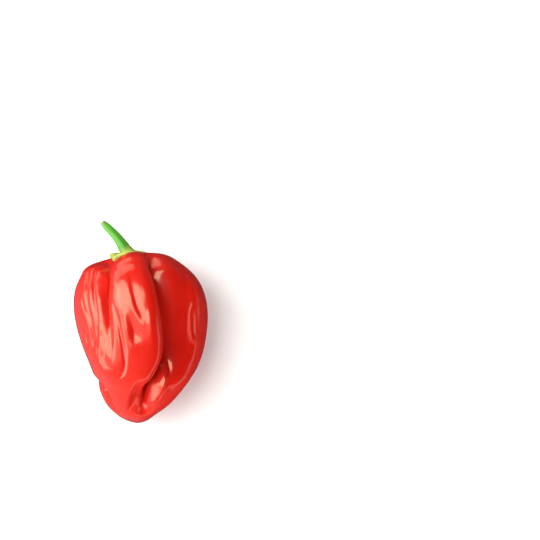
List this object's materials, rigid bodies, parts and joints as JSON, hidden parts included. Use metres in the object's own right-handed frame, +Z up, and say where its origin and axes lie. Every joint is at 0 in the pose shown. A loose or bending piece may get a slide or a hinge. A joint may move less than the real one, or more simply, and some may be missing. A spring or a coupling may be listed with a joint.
{
  "type": "chilli pepper",
  "caption": "Ripe red habanero chilli pepper lying on its side, a broad lobed pod with deep folds and wrinkles that tapers to a blunt tip, with a bent green stem and calyx.",
  "frame": {"origin": "on the surface the pepper lies on, under the middle of its bounding box", "axes": "+Z up from the surface, +Y along the pepper's length towards the stem, +X across it"},
  "size_m": [0.0402, 0.0608, 0.0365],
  "materials": {
    "pepper_skin": null,
    "green_stem": null
  },
  "bodies": {
    "root": {"fruit": "pepper_skin", "stem_calyx": "green_stem"}
  },
  "joints": []
}
